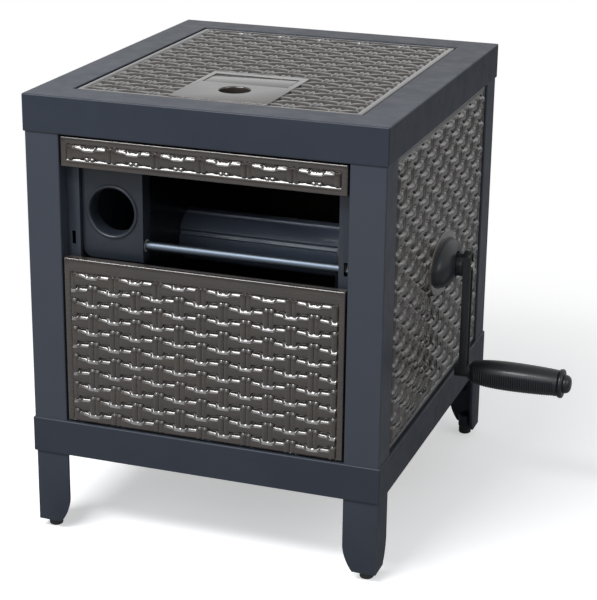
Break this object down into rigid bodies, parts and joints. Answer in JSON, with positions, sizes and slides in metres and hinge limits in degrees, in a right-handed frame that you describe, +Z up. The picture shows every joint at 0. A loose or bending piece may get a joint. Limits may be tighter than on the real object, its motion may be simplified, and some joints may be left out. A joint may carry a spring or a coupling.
{
  "type": "garden hose reel cabinet",
  "caption": "Decorative box on feet with basket-weave panels, a lift-up lid and a front window with a sliding hose guide; a side crank turns the hose reel inside.",
  "frame": {"origin": "on the ground under the centre of the cabinet's frame", "axes": "+X points to the crank's side, +Y to the back, +Z up"},
  "size_m": [0.724, 0.558, 0.616],
  "materials": {
    "frame": "satin",
    "glide": "matt",
    "panel": "satin gloss",
    "hardware": "zinc plated",
    "support": "satin",
    "rod": "gloss",
    "black_plastic": "satin",
    "bush": "self-lubricating",
    "brass": "turned",
    "seal": "matt",
    "cover": "satin"
  },
  "bodies": {
    "cabinet": {"top_frame": "frame", "base_frame": "frame", "top_corner_plugs": "frame", "bottom_corner_plugs": "frame", "foot_bolts": "hardware", "foot_glides": "glide", "floor_pan": "black_plastic", "front_strip_panel": "panel", "front_lower_panel": "panel", "left_panel": "panel", "right_panel": "panel", "back_panel": "panel", "panel_clips": "black_plastic", "clip_screws": "hardware", "reel_support_left": "support", "reel_support_right": "support", "support_screws": "hardware", "lower_guide_rod": "rod", "upper_guide_rod": "rod", "guide_rod_nuts": "hardware", "lid_pivot_bushes": "bush", "shaft_bush": "bush", "inlet_tube": "brass", "inlet_lock_nut": "hardware", "inlet_seals": "seal", "inlet_cover": "cover", "crank_cover": "cover", "post_front_left": "frame", "foot_front_left": "frame", "post_front_right": "frame", "foot_front_right": "frame", "post_back_left": "frame", "foot_back_left": "frame", "post_back_right": "frame", "foot_back_right": "frame"},
    "reel": {"reel_drum": "black_plastic", "reel_flange_left": "black_plastic", "reel_flange_right": "black_plastic", "drum_screws": "hardware", "reel_shaft": "rod", "drive_pin": "hardware", "shaft_collars": "hardware", "outlet_elbow": "brass", "crank_arm": "black_plastic", "crank_bolt": "hardware", "handle_pin": "hardware", "grip_collar": "black_plastic", "grip_end_cap": "black_plastic"},
    "grip": {"crank_grip": "black_plastic"},
    "guide": {"hose_guide": "black_plastic", "guide_bushes": "bush", "guide_eye_ring": "black_plastic"},
    "lid": {"lid": "panel", "lid_pivot_pins": "hardware"}
  },
  "joints": [
    {"name": "reel_spin", "type": "hinge", "parent": "cabinet", "child": "reel", "pos_m": [0, 0.014, 0.357], "axis": [1, 0, 0], "continuous": true},
    {"name": "grip_spin", "type": "hinge", "parent": "reel", "child": "grip", "pos_m": [0.36, 0.014, 0.201], "axis": [1, 0, 0], "continuous": true},
    {"name": "guide_slide", "type": "slide", "parent": "cabinet", "child": "guide", "axis": [1, 0, 0], "range_m": [0, 0.27]},
    {"name": "lid_hinge", "type": "hinge", "parent": "cabinet", "child": "lid", "pos_m": [0, 0.21, 0.6075], "axis": [-1, 0, 0], "range_deg": [0, 95]}
  ]
}
